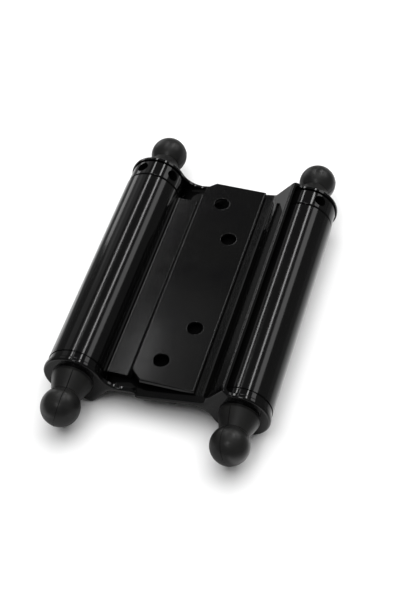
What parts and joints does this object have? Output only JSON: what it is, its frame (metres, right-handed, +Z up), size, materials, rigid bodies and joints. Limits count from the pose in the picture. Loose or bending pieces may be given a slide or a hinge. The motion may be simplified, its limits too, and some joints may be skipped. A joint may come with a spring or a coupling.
{
  "type": "double action spring hinge",
  "caption": "Double action cafe door hinge: two sprung barrels with screw-on leaves, joined by a pressed web with eared ends and ball finials.",
  "frame": {"origin": "midway between the two pin axes at half length, the middle of the whole hinge", "axes": "+X from barrel a to barrel b, +Y along the pins towards the tension collars, +Z up out of leaf a"},
  "size_m": [0.0816, 0.1396, 0.0248],
  "materials": {
    "lacquer": "gloss black lacquer",
    "moulded_black": "satin moulded black",
    "pin_steel": "drawn bright steel",
    "spring_steel": "oil tempered wire"
  },
  "bodies": {
    "leaf_b_side": {"leaf_b": "lacquer", "bush_b": "lacquer", "spring_b": "spring_steel"},
    "web_side": {"web": "lacquer", "pin_a": "pin_steel", "pin_b": "pin_steel", "finial_a_top": "moulded_black", "finial_a_bottom": "moulded_black", "finial_b_top": "moulded_black", "finial_b_bottom": "moulded_black"},
    "leaf_a_side": {"leaf_a": "lacquer", "bush_a": "lacquer", "spring_a": "spring_steel"},
    "collar_a_ring": {"collar_a": "lacquer"},
    "collar_b_ring": {"collar_b": "lacquer"}
  },
  "joints": [
    {"name": "web_swing", "type": "hinge", "parent": "leaf_b_side", "child": "web_side", "pos_m": [0.03, 0, 0], "axis": [0, 1, 0], "range_deg": [0, 180], "stiffness_Nm_per_rad": 0.5, "springref_deg": -20.05, "deforming": ["spring_b"]},
    {"name": "leaf_a_swing", "type": "hinge", "parent": "web_side", "child": "leaf_a_side", "pos_m": [-0.03, 0, 0], "axis": [0, -1, 0], "range_deg": [0, 180], "stiffness_Nm_per_rad": 0.5, "springref_deg": -20.05, "deforming": ["spring_a"]},
    {"name": "collar_a_turn", "type": "hinge", "parent": "web_side", "child": "collar_a_ring", "pos_m": [-0.03, 0.0456, 0], "axis": [0, 1, 0], "range_deg": [0, 216], "deforming": ["spring_a"]},
    {"name": "collar_b_turn", "type": "hinge", "parent": "web_side", "child": "collar_b_ring", "pos_m": [0.03, 0.0456, 0], "axis": [0, 1, 0], "range_deg": [0, 216], "deforming": ["spring_b"]}
  ]
}
